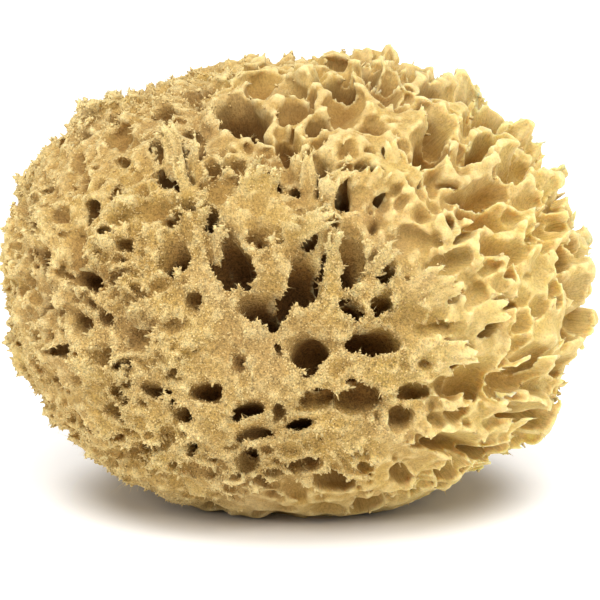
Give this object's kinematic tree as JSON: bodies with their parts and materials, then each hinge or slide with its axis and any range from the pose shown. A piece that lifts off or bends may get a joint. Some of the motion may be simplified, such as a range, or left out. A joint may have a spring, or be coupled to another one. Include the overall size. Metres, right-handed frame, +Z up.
{
  "type": "sea sponge",
  "caption": "Natural bath sponge: a rounded, springy, straw-coloured body riddled with open pores, for washing and wiping.",
  "frame": {"origin": "middle of the flat base that the sponge rests on, under the middle of its bounding box", "axes": "+X to the right as seen from the front, +Y to the back, +Z up"},
  "size_m": [0.1484, 0.124, 0.112],
  "materials": {
    "sponge_fibre": "matt, dry, felted fibre, darker in the pores"
  },
  "bodies": {
    "root": {"sponge": "sponge_fibre"}
  },
  "joints": []
}
